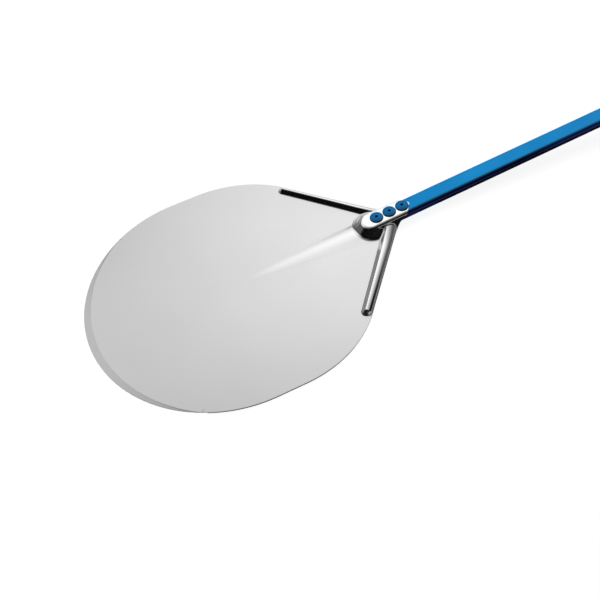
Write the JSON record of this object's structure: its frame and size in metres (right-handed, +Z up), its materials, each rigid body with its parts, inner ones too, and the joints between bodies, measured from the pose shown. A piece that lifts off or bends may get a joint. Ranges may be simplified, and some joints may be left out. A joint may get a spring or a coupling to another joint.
{
  "type": "pizza peel",
  "caption": "Round-fronted sheet aluminium pizza peel with a raised neck riveted over the end of a blue flat-oval tube handle that rises gently and ends in a cap with a hanging hole.",
  "frame": {"origin": "centre of the head's round front, on the flat underside of the sheet", "axes": "+X from the head to the handle, +Y across the head, +Z up from the side that carries the pizza"},
  "size_m": [1.0029, 0.33, 0.0441],
  "materials": {
    "sheet_aluminium": "satin anodised sheet with a fine grain",
    "tube_blue": "satin blue anodised tube",
    "rivet_blue": "satin blue anodised rivet",
    "mandrel_steel": "dark broken steel stem",
    "cap_polymer": "matte moulded polymer"
  },
  "bodies": {
    "root": {"blade": "sheet_aluminium", "handle_tube": "tube_blue", "rivet_front": "rivet_blue", "rivet_middle": "rivet_blue", "rivet_rear": "rivet_blue", "mandrel_front": "mandrel_steel", "mandrel_middle": "mandrel_steel", "mandrel_rear": "mandrel_steel", "end_cap": "cap_polymer"}
  },
  "joints": []
}
